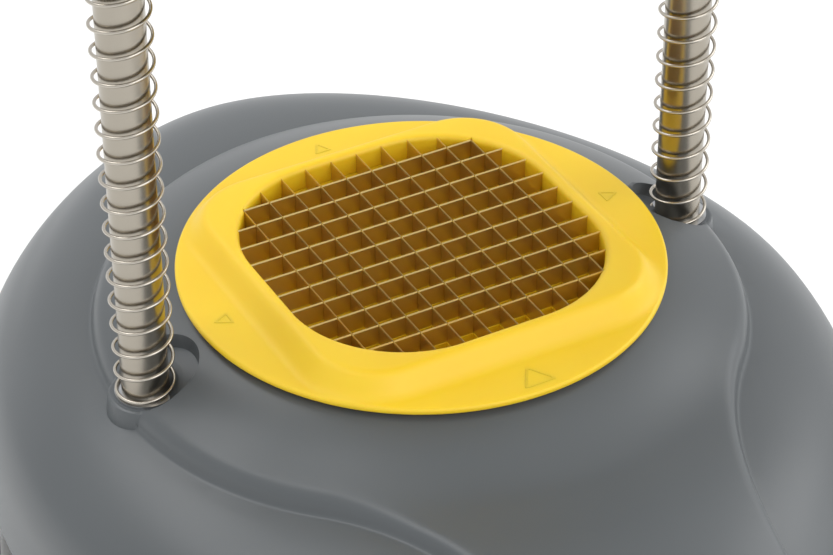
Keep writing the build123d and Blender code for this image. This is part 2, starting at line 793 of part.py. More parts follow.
save("column_nuts", Compound(children=[column_nut(s * column_x) for s in sides.values()]))
save("column_washers", Compound(children=[
    washer(column_stud_radius + column_fit, nut_washer_radius, nut_washer_bottom_z,
           nut_washer_thickness, s * column_x) for s in sides.values()]))
save("collar_screws", Compound(children=[collar_screw(s) for s in sides.values()]))
save("grip_screws", Compound(children=[grip_screw(s) for s in sides.values()]))
save("grip_pins", Compound(children=[
    rod(grip_pin_radius, grip_z - grip_boss_radius + grip_pin_inset,
        grip_z + grip_boss_radius - grip_pin_inset, s * grip_pin_x) for s in sides.values()]))
save("carriage_body", carriage_body())
save("carriage_cover", carriage_cover())
save("cover_screws", Compound(children=[
    screw(cover_screw_radius, cover_screw_length, cover_head_radius, cover_head_height, x, y,
          tray_bottom_z + cover_head_height, True) for x, y in cover_screw_places()]))
save("pusher", pusher())
save("pusher_holder", holder())
save("pusher_screws", Compound(children=[
    screw(pusher_screw_radius, pusher_screw_length, pusher_head_radius, pusher_head_height, x, y,
          tray_bottom_z + tray_floor, False) for x, y in pusher_screw_places()]))
print("spring solid height", round((spring_top_z - seat_top_z) / spring_pitch * spring_wire, 1),
      "space at full stroke", round(spring_top_z - seat_top_z - stroke, 1))
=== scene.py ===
import math

import bpy
import numpy as np
from mathutils import Matrix, Vector
from mathutils.geometry import delaunay_2d_cdt


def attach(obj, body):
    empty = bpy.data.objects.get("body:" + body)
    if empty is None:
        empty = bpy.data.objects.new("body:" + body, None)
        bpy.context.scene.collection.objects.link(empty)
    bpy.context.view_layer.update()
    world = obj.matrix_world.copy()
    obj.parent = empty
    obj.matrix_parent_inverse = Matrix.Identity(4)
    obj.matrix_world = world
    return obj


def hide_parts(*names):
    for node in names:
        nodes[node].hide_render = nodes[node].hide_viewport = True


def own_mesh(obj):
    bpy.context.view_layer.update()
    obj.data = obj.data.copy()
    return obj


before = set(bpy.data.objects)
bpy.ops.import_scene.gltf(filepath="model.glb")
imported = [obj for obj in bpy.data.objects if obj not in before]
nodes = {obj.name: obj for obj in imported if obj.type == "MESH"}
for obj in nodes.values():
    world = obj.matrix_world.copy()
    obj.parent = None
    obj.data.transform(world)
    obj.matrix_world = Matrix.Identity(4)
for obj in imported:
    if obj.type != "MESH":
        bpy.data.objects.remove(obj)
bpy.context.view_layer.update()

MM = 0.001

# Sizes of the cutter that the dressed pieces share with its solids, in millimetres
BLADE_TOP = 150.0
COLUMN_X = 104.0
SPRING_FOOT, SPRING_HEAD = 126.0, 295.0

# Springs: wire a little thicker than the solid's on the same outer diameter, ends partly closed
SPRING_RADIUS, SPRING_WIRE, SPRING_PITCH = 9.7, 1.2, 9.5
SPRING_LIFT = 0.55 * SPRING_WIRE
SPRING_START = math.radians(126)
CLOSED_TURNS = 0.3

# Base: a pillow crown that turns down into legs, with a round panel and a tongue raised on it
CROWN_Z, CROWN_FALL, CROWN_POWER = 123.0, 21.0, 7
CROWN_FULLNESS, HIP_RUN = 0.46, 22.0
HALF_X, HALF_Y = 142.0, 176.08
HIP_CURVE = ((142.0, 102.0), (147.6, 96.0), (149.3, 88.0), (149.5, 80.0))
LEG_FOOT = (153.0, 8.0)
WALL = 5.0
BAY_HALF, BAY_TOP, BAY_CORNER = 84.0, 78.0, 30.0
SIDE_ARCH_HALF, SIDE_ARCH_TOP, SIDE_ARCH_CORNER = 74.08, 58.0, 26.0
SLOPE_RADII = (76.0, 96.0, 109.5)
SLOPE_HEIGHTS = (140.9, 133.5, 126.3)
PANEL_RADIUS, PANEL_STEP, PANEL_EASE, BACK_STRETCH = 112.0, 5.0, 5.0, 1.045
TONGUE_HALF, TONGUE_BLEND = 45.0, 120.0
TONGUE_RISE_START, TONGUE_RISE_RUN, TONGUE_BACK_DROP = 20.0, 60.0, 4.0
# Share of the way to the shoulder from which the raised step leans out with the crown
TILT_START = 0.85
# Column feet: the pocket's floor, the pad that carries the spring, and how softly they meet
FLOOR_Z, PAD_RADIUS = 125.0, 13.0
POCKET_X, POCKET_RADIUS = 100.4, 14.2
POCKET_EASE, PAD_EASE = 1.0, 0.4
# Throat under the ring, bosses under the columns and over the feet
THROAT_HALF, THROAT_CORNER, THROAT_BOTTOM = 63.6, 48.1, 116.0
THROAT_TOP = SLOPE_HEIGHTS[0] - 1.5
COLUMN_BOSS_RADIUS, COLUMN_BOSS_BOTTOM = 20.0, 78.0
COLUMN_BOSS_STEP, COLUMN_BOSS_LAP, COLUMN_BOSS_TOP = 110.0, 1.0, FLOOR_Z - 0.5
COLUMN_NECK_REACH = PANEL_RADIUS - 2.0
# Reach around a column within which its pocket and pad shape the skin
COLUMN_ZONE = COLUMN_BOSS_RADIUS + 2.0
FOOT_X, FOOT_Y, FOOT_BOSS_RADIUS, FOOT_BOSS_TOP = 106.0, 100.08, 18.0, 60.0
# Inner skin: where its wall turns level with the table, and the edge of the hollow panel
INNER_LEVEL_START, INNER_LEVEL_RUN, HOLLOW_EDGE = 1.1, 0.1, 0.6

# Blade ring
RING_RADIUS, FLANGE_TOP, FLANGE_BOTTOM = 83.8, 143.4, 140.9
OPENING_HALF, OPENING_CORNER, GRID_CLEAR = 56.5, 41.0, 45.275
BOSS_HALF, BOSS_CORNER, BOSS_HEIGHT = 61.5, 23.0, 7.6
MOUTH_ROUND, EDGE_ROUND = 2.4, 1.0
SKIRT_WALL, SKIRT_BOTTOM = 6.5, 134.0

# Meshes: pitch of the points between the drawn lines, and how far they keep off those lines
BASE_PLAN_HALF, BASE_PITCH = (260.0, 310.0), 3.6
STEP_KEEP_OFF, BORDER_KEEP_OFF, THROAT_KEEP_OFF, COLUMN_KEEP_OFF = 1.4, 2.0, 1.5, 0.5
FLANK_KEEP_OFF = 0.6
RING_PITCH = 3.0
LIP_KEEP_OFF, RIM_KEEP_OFF, MOUTH_KEEP_OFF, GRID_KEEP_OFF = 1.0, 2.5, 3.5, 4.0
RING_COUNT = 240
# Edges that turn by more than this stay sharp in the shading
CREASE_ANGLE = math.radians(38)


def linear(hex_colour):
    """An sRGB hex colour as the linear RGBA that Blender's sockets take."""
    channels = [int(hex_colour[i:i + 2], 16) / 255 for i in (0, 2, 4)]
    return tuple(c / 12.92 if c <= 0.04045 else ((c + 0.055) / 1.055) ** 2.4
                 for c in channels) + (1.0,)


def add_node(tree, kind, links=(), **settings):
    """Adds a node; settings are its properties or inputs, links are (input, source socket)."""
    node = tree.nodes.new(kind)
    for name, value in settings.items():
        if hasattr(node, name):
            setattr(node, name, value)
        else:
            node.inputs[name.replace("_", " ")].default_value = value
    for target, source in links:
        tree.links.new(source, node.inputs[target])
    return node


def surface(name, colour, roughness, metallic=0.0, **sockets):
    """A material with its principled shader; sockets are the shader's other uniform values."""
    material = bpy.data.materials.new(name)
    material.use_nodes = True
    tree = material.node_tree
    shader = tree.nodes["Principled BSDF"]
    shader.inputs["Base Color"].default_value = linear(colour)
    shader.inputs["Roughness"].default_value = roughness
    shader.inputs["Metallic"].default_value = metallic
    for socket, value in sockets.items():
        shader.inputs[socket.replace("_", " ")].default_value = value
    place = add_node(tree, "ShaderNodeTexCoord")
    return material, tree, shader, place.outputs["Object"]


def grain(tree, shader, place, size, depth, stretch=(1, 1, 1)):
    """A bump of the given grain size and depth, in metres, stretched along the axes."""
    fitted = add_node(tree, "ShaderNodeMapping", [("Vector", place)])
    fitted.inputs["Scale"].default_value = stretch
    noise = add_node(tree, "ShaderNodeTexNoise", [("Vector", fitted.outputs["Vector"])],
                     Scale=1 / size, Detail=2.0)
    bump = add_node(tree, "ShaderNodeBump", [("Height", noise.outputs[0])],
                    Distance=depth, Strength=1.0)
    tree.links.new(bump.outputs["Normal"], shader.inputs["Normal"])


def mottle(tree, shader, place, colours, size):
    """Slow change between colours over the surface, as in a moulded or handled part."""
    noise = add_node(tree, "ShaderNodeTexNoise", [("Vector", place)], Scale=1 / size, Detail=1.0)
    ramp = add_node(tree, "ShaderNodeValToRGB", [("Fac", noise.outputs[0])])
    for element, position, colour in zip(ramp.color_ramp.elements, (0.35, 0.65), colours):
        element.position = position
        element.color = linear(colour)
    tree.links.new(ramp.outputs["Color"], shader.inputs["Base Color"])


# Each grain below is drawn coarser than the real one, which would be too fine to show

# Glass-filled nylon, moulded in grey: a fine satin texture that spreads the light
grey_nylon, tree, shader, place = surface("glass_filled_nylon_grey", "505456", 0.36, IOR=1.53)
mottle(tree, shader, place, ("4F5355", "515557"), 60 * MM)
grain(tree, shader, place, 0.7 * MM, 0.006 * MM)

# The same nylon in yellow: even colour and satin, softened by light that gets a little way in
yellow_nylon, tree, shader, place = surface(
    "glass_filled_nylon_yellow", "E9C31C", 0.48, IOR=1.53, Subsurface_Weight=0.3,
    Subsurface_Scale=4 * MM, Specular_IOR_Level=0.5)
shader.inputs["Subsurface Radius"].default_value = (1.0, 0.6, 0.1)
mottle(tree, shader, place, ("E8C11A", "EAC51E"), 40 * MM)
grain(tree, shader, place, 0.9 * MM, 0.006 * MM)

# Hardened stainless strip, ground flat: fine lines along the strip; its base colour is tinted
# yellow, a painted reflection of the yellow ring round it
blade_steel_painted_reflection, tree, shader, place = surface("ground_stainless_strip", "DCC688", 0.34, 1.0)
grain(tree, shader, place, 1.2 * MM, 0.003 * MM, stretch=(0.1, 0.1, 1))

# Polished stainless rod: soft reflections, with faint turning marks round it
rod_steel, tree, shader, place = surface("polished_stainless_rod", "A59E92", 0.26, 1.0)
grain(tree, shader, place, 0.8 * MM, 0.0015 * MM, stretch=(0.15, 0.15, 1))

# Drawn stainless spring wire: bright and very slightly uneven
wire_steel, tree, shader, place = surface("drawn_spring_wire", "BDB6AA", 0.25, 1.0)
grain(tree, shader, place, 0.6 * MM, 0.002 * MM)

# Zinc-plated steel of the screws, nuts, washers, spring seats, pins and grip bars: softly bright
plated_steel, tree, shader, place = surface("zinc_plated_steel", "BEBFC0", 0.3, 1.0)
grain(tree, shader, place, 0.9 * MM, 0.004 * MM)

# Brushed stainless of the pusher's holder plate and the stop collars: lines that run one way
plate_steel, tree, shader, place = surface("brushed_stainless_plate", "C6C4BE", 0.32, 1.0)
grain(tree, shader, place, 0.8 * MM, 0.006 * MM, stretch=(0.06, 1, 1))

# Black nitrile rubber of the feet, buffers and bumpers: dead matt
rubber, tree, shader, place = surface("nitrile_rubber", "1D1D1E", 0.75)
grain(tree, shader, place, 1.1 * MM, 0.03 * MM)

# Soft-touch rubber moulded over the grips: dark and matt, with a fine grain
grip_rubber, tree, shader, place = surface("soft_touch_rubber", "2B2D2F", 0.62)
grain(tree, shader, place, 1.0 * MM, 0.04 * MM)

# Acetal end caps: smooth and dark
cap_acetal, tree, shader, place = surface("acetal_black", "26282A", 0.35, IOR=1.48)
grain(tree, shader, place, 2 * MM, 0.006 * MM)

# Natural nylon bushes: milky and a little see-through at the edges
bush_nylon, tree, shader, place = surface(
    "natural_nylon", "E3DFD2", 0.4, IOR=1.53, Subsurface_Weight=0.3, Subsurface_Scale=2 * MM)
grain(tree, shader, place, 1 * MM, 0.004 * MM)

finishes = {
    "base_shell": grey_nylon, "carriage_body": grey_nylon, "carriage_cover": grey_nylon,
    "blade_": yellow_nylon, "pusher": yellow_nylon,
    "blades_": blade_steel_painted_reflection, "column_cap": cap_acetal, "column_left": rod_steel,
    "column_right": rod_steel, "spring_left": wire_steel, "spring_right": wire_steel,
    "foot_screws": plated_steel, "foot_": rubber, "stop_bu": rubber, "grip_cap": cap_acetal,
    "grip_left": grip_rubber, "grip_right": grip_rubber, "lower_bush": bush_nylon,
    "upper_bush": bush_nylon, "pusher_holder": plate_steel, "stop_collar": plate_steel,
    "pusher_screws": plated_steel,
}


def finish_of(node):
    """The finish whose key is the longest start of the node's name; the rest is plated steel."""
    keys = [key for key in finishes if node.startswith(key)]
    return finishes[max(keys, key=len)] if keys else plated_steel


for name, solid in nodes.items():
    solid.data.materials.clear()
    solid.data.materials.append(finish_of(name))


def mesh_piece(name, points, faces, material, smooth=True):
    mesh = bpy.data.meshes.new(name)
    mesh.from_pydata([tuple(p) for p in points], [], [tuple(f) for f in faces])
    mesh.materials.append(material)
    mesh.polygons.foreach_set("use_smooth", [smooth] * len(mesh.polygons))
    mesh.update()
    piece = bpy.data.objects.new(name, mesh)
    bpy.context.scene.collection.objects.link(piece)
    return piece


def soft_max(first, second, blend):
    """The larger of two heights, eased where they come within the blend of each other."""
    nearness = np.maximum(blend - np.abs(first - second), 0) / blend
    return np.maximum(first, second) + nearness ** 2 * blend / 4


def soft_min(first, second, blend):
    return -soft_max(-first, -second, blend)


def bezier(corners, count):
    share = np.linspace(0, 1, count)[:, None]
    start, first, second, end = np.array(corners)
    return ((1 - share) ** 3 * start + 3 * (1 - share) ** 2 * share * first
            + 3 * (1 - share) * share ** 2 * second + share ** 3 * end)


def arc_through(radii, heights):
    """Centre and radius of the arc through three points of a turned profile."""
    steps = 2 * np.array([[radii[i] - radii[0], heights[i] - heights[0]] for i in (1, 2)])
    sums = [radii[i] ** 2 - radii[0] ** 2 + heights[i] ** 2 - heights[0] ** 2 for i in (1, 2)]
    centre = np.linalg.solve(steps, sums)
    return centre, math.hypot(radii[0] - centre[0], heights[0] - centre[1])


def oval_reach(turn, fullness):
    """How far an oval of four curves reaches in a direction, as a share of its ellipse."""
    curve = bezier(((1, 0), (1, fullness), (fullness, 1), (0, 1)), count=65)
    angles = np.arctan2(curve[:, 1], curve[:, 0])
    folded = np.arctan2(np.abs(np.sin(turn)), np.abs(np.cos(turn)))
    return np.interp(folded, angles, np.hypot(*curve.T))


side_line = np.vstack([bezier(HIP_CURVE, count=25), [LEG_FOOT]])
side_reaches, side_heights = side_line.T
side_lengths = np.concatenate([[0], np.cumsum(np.hypot(*np.diff(side_line, axis=0).T))])
slope_centre, slope_bend = arc_through(SLOPE_RADII, SLOPE_HEIGHTS)
SHOULDER_Z = CROWN_Z - CROWN_FALL


def crown_share(u, v):
    """Share of the way out to the shoulder, which is an oval with its corners drawn in."""
    turn = np.arctan2(v / HALF_Y, u / HALF_X)
    return np.hypot(u / HALF_X, v / HALF_Y) / oval_reach(turn, CROWN_FULLNESS), turn


def side_reach(turn, height):
    """Reach of the side at a height, as a half length along X: the oval fills out to an ellipse."""
    filled = np.clip((SHOULDER_Z - height) / HIP_RUN, 0, 1)
    oval = oval_reach(turn, CROWN_FULLNESS)
    return np.interp(-height, -side_heights, side_reaches) * (oval + (1 - oval) * filled)


def crown(u, v):
    """The pillow over a plan (u, v) that runs on past the shoulder, down the sides of the legs."""
    share, turn = crown_share(u, v)
    low = np.interp(np.maximum(share - 1, 0) * HALF_X, side_lengths, side_heights)
    reach = np.where(share <= 1, share * HALF_X * oval_reach(turn, CROWN_FULLNESS),
                     side_reach(turn, low))
    height = np.where(share <= 1, CROWN_Z - CROWN_FALL * share ** CROWN_POWER, low)
    return np.stack([reach * np.cos(turn), reach * np.sin(turn) * HALF_Y / HALF_X, height], axis=-1)


def crown_normal(u, v, step=0.5):
    along = crown(u + step, v) - crown(u - step, v)
    across = crown(u, v + step) - crown(u, v - step)
    normal = np.cross(along, across)
    return normal / np.linalg.norm(normal, axis=-1, keepdims=True)


def dome_height(radius):
    """Height of the round panel: level at the ring seat, then an arc, then straight on."""
    near = np.clip(radius, SLOPE_RADII[0], SLOPE_RADII[-1])
    depth = np.sqrt(slope_bend ** 2 - (near - slope_centre[0]) ** 2)
    steepness = (SLOPE_RADII[-1] - slope_centre[0]) / depth.min()
    return slope_centre[1] + depth - np.maximum(radius - SLOPE_RADII[-1], 0) * steepness


blend_x = TONGUE_HALF + TONGUE_BLEND
blend_y = -math.sqrt((PANEL_RADIUS + TONGUE_BLEND) ** 2 - blend_x ** 2)
root_turn = math.atan2(-blend_y, blend_x)


def stretched(y):
    """Places behind the columns drawn in, so that the panel reaches further back than out."""
    return np.where(y > 0, y / BACK_STRETCH, y)


def panel_depth(x, y):
    """How far a place lies inside the outline of the panel and its tongue."""
    y = stretched(y)
    across, along = blend_x - np.abs(x), y - blend_y
    turn = np.arctan2(along, across)
    flank = np.where(turn < 0, TONGUE_HALF - np.abs(x), np.hypot(across, along) - TONGUE_BLEND)
    return np.where(turn < root_turn, flank, PANEL_RADIUS - np.hypot(x, y))


# Rounded step around the panel: depth inside its outline and share of the full rise there
STEP_DEPTHS = (-2.2, -1.5, -1.1, -0.7, -0.3, 0.0, 0.5, 1.0, 2.0, 3.0, 4.2)
STEP_SHARES = (0, 0.015, 0.05, 0.14, 0.36, 0.55, 0.72, 0.83, 0.94, 0.985, 1)
# Column pocket: level floor, slight slope, upright wall; and the pad that carries it outside
POCKET_RADII = [POCKET_RADIUS + step for step in (-2.0, -1.0, 0, 0.3, 0.8)]
POCKET_BORDER = POCKET_RADIUS + 1.4
POCKET_HEIGHTS = (FLOOR_Z, FLOOR_Z + 0.7, FLOOR_Z + 2.0, FLOOR_Z + 9.0, FLOOR_Z + 22.0)
PAD_RADII = (PAD_RADIUS - 1.2, PAD_RADIUS - 0.5, PAD_RADIUS, PAD_RADIUS + 0.5)
PAD_HEIGHTS = (FLOOR_Z, FLOOR_Z - 0.4, FLOOR_Z - 3.0, FLOOR_Z - 16.0)


def base_outside(u, v):
    """Outer skin of the base: pillow, raised panel and tongue, and the two column pockets."""
    ground = crown(u, v)
    x, y, z = ground.T
    share, _ = crown_share(u, v)
    front = np.clip((TONGUE_RISE_START - y) / TONGUE_RISE_RUN, 0, 1)
    tongue = z + PANEL_STEP - TONGUE_BACK_DROP * (1 - front)
    rise = soft_max(dome_height(np.hypot(x, stretched(y))), tongue, PANEL_EASE) - z
    lift = rise * np.interp(panel_depth(x, y), STEP_DEPTHS, STEP_SHARES)
    tilt = np.clip((share - TILT_START) / (1 - TILT_START), 0, 1)[:, None]
    direction = (1 - tilt) * np.array([0, 0, 1]) + tilt * crown_normal(u, v)
    direction /= np.linalg.norm(direction, axis=-1, keepdims=True)
    skin = ground + lift[:, None] * direction
    reach = np.hypot(np.abs(skin[:, 0]) - COLUMN_X, skin[:, 1])
    pocket_reach = np.hypot(np.abs(skin[:, 0]) - POCKET_X, skin[:, 1])
    pocket = np.interp(pocket_reach, POCKET_RADII, POCKET_HEIGHTS)
    pad = np.interp(reach, PAD_RADII, PAD_HEIGHTS)
    sunk = soft_max(soft_min(skin[:, 2], pocket, POCKET_EASE), pad, PAD_EASE)
    skin[:, 2] = np.where(reach < COLUMN_ZONE, sunk, skin[:, 2])
    return skin


def base_inside(u, v):
    """Inner skin of the base, one wall inside the pillow and hollow under the round panel."""
    ground = crown(u, v)
    share, _ = crown_share(u, v)
    normal = crown_normal(u, v)
    level = np.clip((share - INNER_LEVEL_START) / INNER_LEVEL_RUN, 0, 1)[:, None]
    normal = normal * (1 - level * np.array([0, 0, 1]))
    skin = ground - WALL * normal / np.linalg.norm(normal, axis=-1, keepdims=True)
    radius = np.hypot(skin[:, 0], skin[:, 1])
    hollow = np.interp(PANEL_RADIUS - WALL - radius, (-HOLLOW_EDGE, HOLLOW_EDGE), (0, 1))
    skin[:, 2] += np.maximum(dome_height(radius) - WALL - skin[:, 2], 0) * hollow
    return skin


def sheet(loop, lines, seeds, keeps):
    """Triangles inside a closed loop, kept to the lines and seeded with points; keeps(x, y) says
    which of them stay."""
    points = [tuple(p) for p in loop]
    edges = [(i, (i + 1) % len(loop)) for i in range(len(loop))]
    for line in lines:
        edges += [(i, i + 1) for i in range(len(points), len(points) + len(line) - 1)]
        points += [tuple(p) for p in line]
    points += [tuple(p) for p in seeds]
    flat, _, faces, *_ = delaunay_2d_cdt([Vector(p) for p in points], edges, [], 1, 1e-6)
    plan = np.array([tuple(p) for p in flat])
    faces = np.array([face for face in faces if len(face) == 3])
    first, second, third = (plan[faces[:, i]] for i in range(3))
    area = np.cross(second - first, third - first)
    faces[area < 0] = faces[area < 0][:, ::-1]
    middle = (first + second + third) / 3
    return plan, faces[(np.abs(area) > 1e-9) & keeps(*middle.T)]


def closed_between(faces, outside, inside):
    """Closed shell of two skins over the same triangles, joined along their borders."""
    count = len(outside)
    edges = np.vstack([faces[:, [0, 1]], faces[:, [1, 2]], faces[:, [2, 0]]])
    known = {(a, b) for a, b in edges.tolist()}
    border = [(a, b) for a, b in known if (b, a) not in known]
    walls = [(b, a, a + count, b + count) for a, b in border]
    shell = [tuple(face) for face in faces.tolist()]
    shell += [(c + count, b + count, a + count) for a, b, c in faces.tolist()]
    return np.vstack([outside, inside]), shell + walls


def prism(outline, low, high):
    """Closed upright prism over an outline that turns counter-clockwise."""
    count = len(outline)
    points = np.vstack([np.column_stack([outline, np.full(count, z)]) for z in (low, high)])
    walls = [(i, (i + 1) % count, (i + 1) % count + count, i + count) for i in range(count)]
    return points, walls + [tuple(range(count))[::-1], tuple(range(count, 2 * count))]


def banded(rings):
    """Closed band through level outlines, given with their heights in turn round its section."""
    count, turns = len(rings[0][0]), len(rings)
    points = np.vstack([np.column_stack([ring, np.full(count, z)]) for ring, z in rings])
    faces = [(k * count + i, k * count + (i + 1) % count,
              (k + 1) % turns * count + (i + 1) % count, (k + 1) % turns * count + i)
             for k in range(turns) for i in range(count)]
    return points, faces


def joined(shells):
    """One set of points and faces from several closed shells."""
    points, faces = [], []
    for shell_points, shell_faces in shells:
        shift = sum(len(part) for part in points)
        faces += [tuple(corner + shift for corner in face) for face in shell_faces]
        points.append(shell_points)
    return np.vstack(points), faces


def circle(radius, x=0.0, y=0.0, count=64, start=0.0, end=2 * math.pi):
    whole = end - start > 2 * math.pi - 1e-6
    turns = np.linspace(start, end, count, endpoint=not whole)
    return np.column_stack([x + radius * np.cos(turns), y + radius * np.sin(turns)])


def ring_line(points):
    """A closed line: its first point comes again at its end."""
    return np.vstack([points, points[:1]])


def rounded_square(half, corner, bend_count=28, run_count=12):
    """Counter-clockwise outline of a square with round corners."""
    flat = half - corner
    points = []
    for quarter in range(4):
        bend = circle(corner, flat, flat, bend_count, end=math.pi / 2)
        run = np.linspace(bend[-1], (-flat, half), run_count)[1:-1]
        cosine, sine = math.cos(quarter * math.pi / 2), math.sin(quarter * math.pi / 2)
        spin = np.array([[cosine, sine], [-sine, cosine]])
        points.append(np.vstack([bend, run]) @ spin)
    return np.vstack(points)


def square_distance(x, y, half, corner):
    """Distance from the wall of a rounded square, positive outside it."""
    beyond_x, beyond_y = np.abs(x) - (half - corner), np.abs(y) - (half - corner)
    outside = np.hypot(np.maximum(beyond_x, 0), np.maximum(beyond_y, 0))
    return outside + np.minimum(np.maximum(beyond_x, beyond_y), 0) - corner


def seed_points(half_x, half_y, pitch):
    rows = np.arange(-half_y, half_y, pitch * math.sqrt(3) / 2)
    columns = np.arange(-half_x, half_x, pitch)
    x, y = np.meshgrid(columns, rows)
    x = x + pitch / 2 * (np.arange(len(rows)) % 2)[:, None]
    return x.ravel(), y.ravel()


def low_place(turn, height):
    """Plan place of a point of the side, from its direction and its height."""
    share = 1 + np.interp(-np.asarray(height), -side_heights, side_lengths) / HALF_X
    share = share * oval_reach(turn, CROWN_FULLNESS)
    return np.stack([HALF_X * share * np.cos(turn), HALF_Y * share * np.sin(turn)], axis=-1)


def half_arch(half, top, corner, step=4.0):
    """Offsets and heights along one half of an arch, from its middle down to the leg's end."""
    bend_length = 1.6 * corner
    bend = np.linspace(0, math.pi / 2, int(bend_length / step) + 2)
    run = np.arange(0, half - corner, step)
    leg = np.arange(top - corner, LEG_FOOT[1], -step)[1:]
    offsets = [run, half - corner + corner * np.sin(bend), np.full(len(leg) + 1, half)]
    heights = [np.full(len(run), top), top - corner + corner * np.cos(bend),
               np.append(leg, LEG_FOOT[1])]
    return np.concatenate(offsets), np.concatenate(heights)


def leg_border():
    """The whole lower border of the base in plan: four arches and four leg ends."""
    offset, height = half_arch(SIDE_ARCH_HALF, SIDE_ARCH_TOP, SIDE_ARCH_CORNER)
    reach = np.interp(-height, -side_heights, side_reaches)
    side = low_place(np.arcsin(offset / (reach * HALF_Y / HALF_X)), height)
    offset, height = half_arch(BAY_HALF, BAY_TOP, BAY_CORNER)
    reach = np.interp(-height, -side_heights, side_reaches)
    bay = low_place(np.arccos(offset / reach), height)[::-1]
    start, end = (math.atan2(p[1] / HALF_Y, p[0] / HALF_X) for p in (side[-1], bay[0]))
    foot = low_place(np.linspace(start, end, 24), LEG_FOOT[1])
    quarter = np.vstack([side, foot[1:-1], bay])
    mirrored = [quarter, (quarter * (-1, 1))[::-1], -quarter, (quarter * (1, -1))[::-1]]
    return np.vstack([part[:-1] for part in mirrored])


def step_lines():
    """Lines in plan along the rounded step: flank, blend, round panel, blend and flank."""
    lines = []
    bay_length = np.interp(-BAY_TOP, -side_heights, side_lengths)
    down = np.linspace(0, bay_length - FLANK_KEEP_OFF, 12)
    heights = np.interp(down, side_lengths, side_heights)
    for depth in STEP_DEPTHS:
        half = TONGUE_HALF - depth
        disc = circle(PANEL_RADIUS - depth, count=230, start=-root_turn, end=math.pi + root_turn)
        disc[:, 1] *= np.where(disc[:, 1] > 0, BACK_STRETCH, 1)
        blend = circle(TONGUE_BLEND + depth, blend_x, blend_y, count=44, start=math.pi,
                       end=math.pi - root_turn)
        # A flank point's direction depends on the side's reach there, so it is found by repeating
        turns = np.full(len(down), -math.pi / 2)
        for _ in range(6):
            turns = -np.arccos(half / side_reach(turns, heights))
        flank = low_place(turns, heights)
        run = np.linspace(flank[0], blend[0], 4)[1:-1]
        right = np.vstack([flank[::-1], run, blend[:-1]])
        lines.append(np.vstack([right, disc, (right * (-1, 1))[::-1]]))
    return lines


def base_mesh():
    """The base as one mesh: its thick skin and the bosses and throat inside it."""
    border = leg_border()
    border_turn = np.arctan2(border[:, 1], border[:, 0])
    order = np.argsort(border_turn)
    border_reach = np.hypot(*border.T)
    pocket_rings = [ring_line(circle(radius, side * COLUMN_X, count=48))
                    for side in (-1, 1) for radius in PAD_RADII]
    pocket_rings += [ring_line(circle(radius, side * POCKET_X))
                     for side in (-1, 1) for radius in (*POCKET_RADII[1:], POCKET_BORDER)]
    throat = ring_line(rounded_square(THROAT_HALF, THROAT_CORNER))
    u, v = seed_points(*BASE_PLAN_HALF, BASE_PITCH)
    reach = np.hypot(u, v)
    edge = np.interp(np.arctan2(v, u), border_turn[order], border_reach[order],
                     period=2 * math.pi)
    place = crown(u, v)
    depth = panel_depth(place[:, 0], place[:, 1])
    clear = (depth < STEP_DEPTHS[0] - STEP_KEEP_OFF) | (depth > STEP_DEPTHS[-1] + STEP_KEEP_OFF)
    clear &= reach < edge - BORDER_KEEP_OFF
    clear &= square_distance(u, v, THROAT_HALF, THROAT_CORNER) > THROAT_KEEP_OFF
    clear &= np.hypot(np.abs(u) - COLUMN_X, v) > COLUMN_BOSS_RADIUS + COLUMN_KEEP_OFF
    plan, faces = sheet(border, step_lines() + pocket_rings + [throat],
                        np.column_stack([u, v])[clear],
                        lambda x, y: square_distance(x, y, THROAT_HALF, THROAT_CORNER) > 0)
    shells = [closed_between(faces, base_outside(*plan.T), base_inside(*plan.T))]
    for side in (-1, 1):
        boss = circle(COLUMN_BOSS_RADIUS, side * COLUMN_X)
        neck = boss * np.minimum(1, COLUMN_NECK_REACH / np.hypot(*boss.T))[:, None]
        shells += [prism(boss, COLUMN_BOSS_BOTTOM, COLUMN_BOSS_STEP + COLUMN_BOSS_LAP),
                   prism(neck, COLUMN_BOSS_STEP, COLUMN_BOSS_TOP)]
        shells += [prism(circle(FOOT_BOSS_RADIUS, side * FOOT_X, end * FOOT_Y), LEG_FOOT[1],
                         FOOT_BOSS_TOP) for end in (-1, 1)]
    outer = rounded_square(THROAT_HALF + WALL, THROAT_CORNER + WALL)
    inner = rounded_square(THROAT_HALF, THROAT_CORNER)
    throat_rings = [(outer, THROAT_BOTTOM), (outer, THROAT_TOP), (inner, THROAT_TOP),
                    (inner, THROAT_BOTTOM)]
    return joined(shells + [banded(throat_rings)])


# Blade ring: the boss's rounded slope, by distance out from its top edge
BOSS_STEPS = (-3.2, -2.0, -1.0, 0.0, 1.0, 2.25, 3.5, 4.5, 5.5, 6.5, 7.5)
BOSS_SHARES = (1, 0.985, 0.94, 0.83, 0.665, 0.43, 0.23, 0.115, 0.045, 0.01, 0)
# Steps out over the mouth's round to the skirt's upright face, and in over the flange's edge
MOUTH_STEPS = (0.12, 0.4, 0.9, 1.6, MOUTH_ROUND, SKIRT_WALL - 0.05, SKIRT_WALL + 0.05)
EDGE_STEPS = (0.06, 0.3, 0.65, EDGE_ROUND)
# Raised triangles: base and apex inward from the ring's edge, and half width; then the line's
# width, height, edge slope and root, and the share of a side that an eased corner takes
SIDE_MARK, FRONT_MARK = (11.8, 5.1, 3.6), (3.4, 13.8, 6.4)
MARK_LINE, MARK_HEIGHT, MARK_EDGE, MARK_ROOT, MARK_CORNER = 1.0, 0.12, 0.2, 0.5, 0.12


def round_drop(distance, radius):
    """How far a rounded edge has dropped at a distance inside its wall."""
    short = np.clip(radius - distance, 0, radius)
    return radius - np.sqrt(radius ** 2 - short ** 2)


